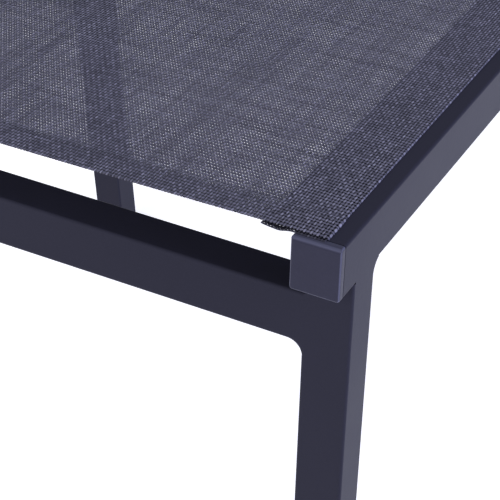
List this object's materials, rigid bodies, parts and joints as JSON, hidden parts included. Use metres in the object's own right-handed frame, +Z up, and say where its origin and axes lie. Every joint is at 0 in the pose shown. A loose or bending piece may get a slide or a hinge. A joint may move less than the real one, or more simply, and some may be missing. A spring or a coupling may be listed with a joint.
{
  "type": "reclining sun lounger",
  "caption": "Low metal lounger on straight leg frames, with a see-through woven sling seat and a hinged sling backrest that is propped at several angles.",
  "frame": {"origin": "on the floor, in the middle of the footprint", "axes": "+Z up, +Y along the lounger from the foot end to the head end, +X across it to the right as seen from the foot end"},
  "size_m": [0.536, 1.95, 0.9603],
  "materials": {
    "frame_coat": "fine satin anthracite powder coat",
    "stay_coat": "fine satin anthracite powder coat",
    "cap_plastic": "fine moulded grain",
    "glide_plastic": "moulded, matte black",
    "sling_fabric": "coated yarn in plain open weave",
    "edge_cord": "smooth extruded",
    "rack_plastic": "glass-filled moulding",
    "bush_plastic": "smooth nylon",
    "rest_rubber": "moulded",
    "fasteners": "plain stainless"
  },
  "bodies": {
    "frame": {"crossbar_foot": "frame_coat", "crossbar_head": "frame_coat", "crossbar_mid": "frame_coat", "end_cap_foot_left": "cap_plastic", "end_cap_foot_right": "cap_plastic", "end_cap_head_left": "cap_plastic", "end_cap_head_right": "cap_plastic", "foot_glide_foot_left": "glide_plastic", "foot_glide_foot_right": "glide_plastic", "foot_glide_head_left": "glide_plastic", "foot_glide_head_right": "glide_plastic", "foot_glide_mid_left": "glide_plastic", "foot_glide_mid_right": "glide_plastic", "head_bar": "frame_coat", "hinge_bolts": "fasteners", "hinge_nuts": "fasteners", "hinge_plate_left": "frame_coat", "hinge_plate_right": "frame_coat", "hinge_rivets": "fasteners", "hinge_spacers": "bush_plastic", "hip_bar": "frame_coat", "leg_foot_left": "frame_coat", "leg_foot_right": "frame_coat", "leg_head_left": "frame_coat", "leg_head_right": "frame_coat", "leg_mid_left": "frame_coat", "leg_mid_right": "frame_coat", "rack_left": "rack_plastic", "rack_right": "rack_plastic", "rack_rivets": "fasteners", "rest_blocks": "rest_rubber", "seat_edge_cord_left": "edge_cord", "seat_edge_cord_right": "edge_cord", "seat_sling": "sling_fabric", "side_rail_left": "frame_coat", "side_rail_right": "frame_coat"},
    "backrest": {"back_cap_lower_left": "cap_plastic", "back_cap_lower_right": "cap_plastic", "back_cap_upper_left": "cap_plastic", "back_cap_upper_right": "cap_plastic", "back_edge_cord_left": "edge_cord", "back_edge_cord_right": "edge_cord", "back_lower_bar": "frame_coat", "back_rail_left": "frame_coat", "back_rail_right": "frame_coat", "back_sling": "sling_fabric", "back_top_bar": "frame_coat", "hinge_bushes": "bush_plastic", "stay_bolts": "fasteners", "stay_lug_left": "frame_coat", "stay_lug_right": "frame_coat", "stay_nuts": "fasteners", "stay_washers": "bush_plastic", "turn_plate_left": "frame_coat", "turn_plate_right": "frame_coat"},
    "stay": {"rod_sleeves": "bush_plastic", "stay_arm_left": "stay_coat", "stay_arm_right": "stay_coat", "stay_brace": "stay_coat", "stay_foot_rod": "stay_coat"}
  },
  "joints": [
    {"name": "back_recline", "type": "hinge", "parent": "frame", "child": "backrest", "pos_m": [0, 0.1718, 0.4458], "axis": [1, 0, 0], "range_deg": [-39, 31]},
    {"name": "stay_fold", "type": "hinge", "parent": "backrest", "child": "stay", "pos_m": [0, 0.40494, 0.6346], "axis": [1, 0, 0], "range_deg": [-62, 78]}
  ],
  "couplings": [
    {"joint": "stay_fold", "follows": "back_recline", "ratio": -2}
  ]
}
